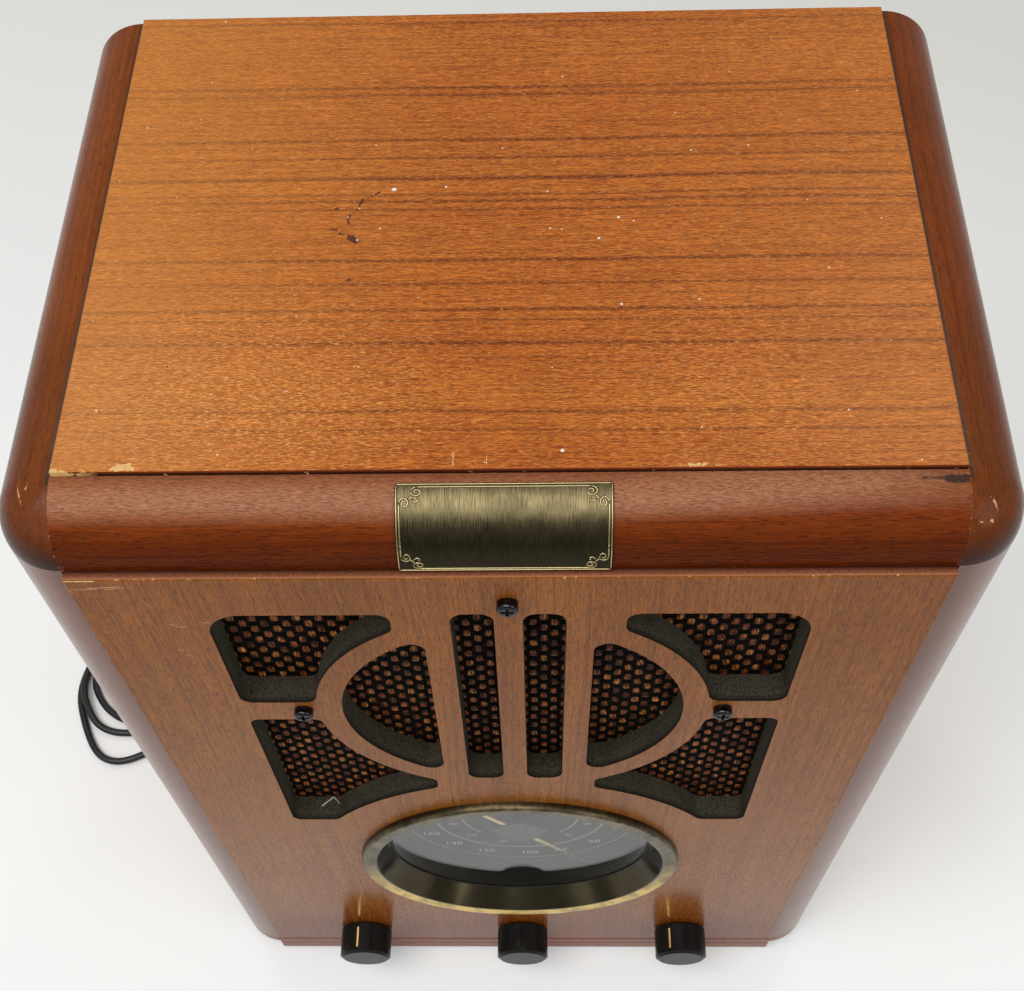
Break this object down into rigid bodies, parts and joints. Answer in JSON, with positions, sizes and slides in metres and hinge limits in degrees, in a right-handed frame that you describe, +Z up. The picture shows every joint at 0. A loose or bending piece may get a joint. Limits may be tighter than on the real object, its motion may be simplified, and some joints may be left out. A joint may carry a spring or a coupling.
{
  "type": "table radio",
  "caption": "Table radio in a rounded wooden box with a pierced front, woven cloth, a round brass-rimmed dial, a row of knobs and a mains cord.",
  "frame": {"origin": "middle of the radio's footprint, knobs included, on the surface it stands on", "axes": "+X to the right of someone facing the dial, +Y to the back, +Z up"},
  "size_m": [0.407, 0.2857, 0.3929],
  "materials": {
    "dark_mahogany": "polished dark red-brown mahogany, small chips at the edges",
    "figured_mahogany": "glossy red-brown veneer, grain along the rail",
    "teak_veneer": "satin orange teak veneer",
    "front_veneer": "satin brown veneer, grain upright",
    "plain_wood": "unfinished plywood and softwood",
    "hardboard": "smooth brown hardboard",
    "grille_cloth": "coarse basket weave, black and golden brown",
    "paper_cone": "matte pressed paper",
    "steel": "plated steel, slightly tarnished",
    "plated_metal": "zinc-plated steel",
    "black_metal": "satin black paint",
    "magnet": "ferrite and plated steel",
    "antique_brass": "brushed antique brass",
    "brass": "bright brass",
    "gold": "gold-coloured metal",
    "aluminium": "bare aluminium",
    "black_rubber": "matte black rubber",
    "rubber": "matte dark rubber",
    "clear_glass": "clear glass",
    "dial_face": "dark satin face with pale scale lines",
    "dark_plastic": "dark moulded plastic",
    "knob_plastic": "glossy black moulded plastic with one gold line",
    "circuit_board": "phenolic board",
    "lamination": "varnished steel laminations",
    "coil_tape": "wound coil under tape",
    "dial_cord": "braided cord",
    "cord_jacket": "smooth black flexible jacket",
    "plug_plastic": "black moulded plug"
  },
  "bodies": {
    "root": {"back_cleats": "plain_wood", "back_panel": "hardboard", "back_screws": "steel", "band_switch": "plated_metal", "base_board": "dark_mahogany", "bottom_board": "plain_wood", "chassis": "plated_metal", "circuit_board": "circuit_board", "control_nuts": "steel", "cord_coil": "cord_jacket", "cord_strain_relief": "black_rubber", "dial_bezel": "antique_brass", "dial_cord": "dial_cord", "dial_face": "dial_face", "dial_frame": "black_metal", "dial_gasket": "black_rubber", "dial_glass": "clear_glass", "dial_lamps": "clear_glass", "filter_capacitors": "dark_plastic", "front_bottom_rail": "dark_mahogany", "front_panel": "front_veneer", "front_top_rail": "figured_mahogany", "grille_cloth": "grille_cloth", "grille_nuts": "steel", "grille_screws": "steel", "lamp_holders": "dark_plastic", "left_front_moulding": "dark_mahogany", "left_side_board": "plain_wood", "left_side_panel": "teak_veneer", "left_top_moulding": "dark_mahogany", "name_plate": "antique_brass", "plug_blades": "brass", "power_cord": "cord_jacket", "power_plug": "plug_plastic", "right_front_moulding": "dark_mahogany", "right_side_board": "plain_wood", "right_side_panel": "teak_veneer", "right_top_moulding": "dark_mahogany", "rubber_feet": "rubber", "speaker_cone": "paper_cone", "speaker_frame": "black_metal", "speaker_magnet": "magnet", "standoffs": "steel", "top_board": "plain_wood", "top_panel": "teak_veneer", "transformer_coil": "coil_tape", "transformer_core": "lamination", "tuning_bearing": "plated_metal", "tuning_capacitor": "aluminium", "volume_control": "plated_metal"},
    "volume": {"volume_knob": "knob_plastic", "volume_shaft": "aluminium"},
    "band": {"band_knob": "knob_plastic", "band_shaft": "aluminium"},
    "tuning": {"tuning_knob": "knob_plastic", "tuning_shaft": "aluminium"},
    "pointer": {"pointer": "gold", "pointer_hub": "dark_plastic", "pointer_shaft": "steel", "dial_drum": "dark_plastic"}
  },
  "joints": [
    {"name": "volume_turn", "type": "hinge", "parent": "root", "child": "volume", "pos_m": [-0.078, -0.09825, 0.0355], "axis": [0, 1, 0], "range_deg": [-135, 165]},
    {"name": "band_turn", "type": "hinge", "parent": "root", "child": "band", "pos_m": [0, -0.09825, 0.0355], "axis": [0, 1, 0], "range_deg": [0, 60]},
    {"name": "tuning_turn", "type": "hinge", "parent": "root", "child": "tuning", "pos_m": [0.078, -0.09825, 0.0355], "axis": [0, 1, 0], "range_deg": [-720, 720]},
    {"name": "pointer_turn", "type": "hinge", "parent": "root", "child": "pointer", "pos_m": [0, -0.09825, 0.1359], "axis": [0, 1, 0], "range_deg": [-90, 90]}
  ],
  "couplings": [
    {"joint": "pointer_turn", "follows": "tuning_turn", "ratio": 0.125}
  ]
}
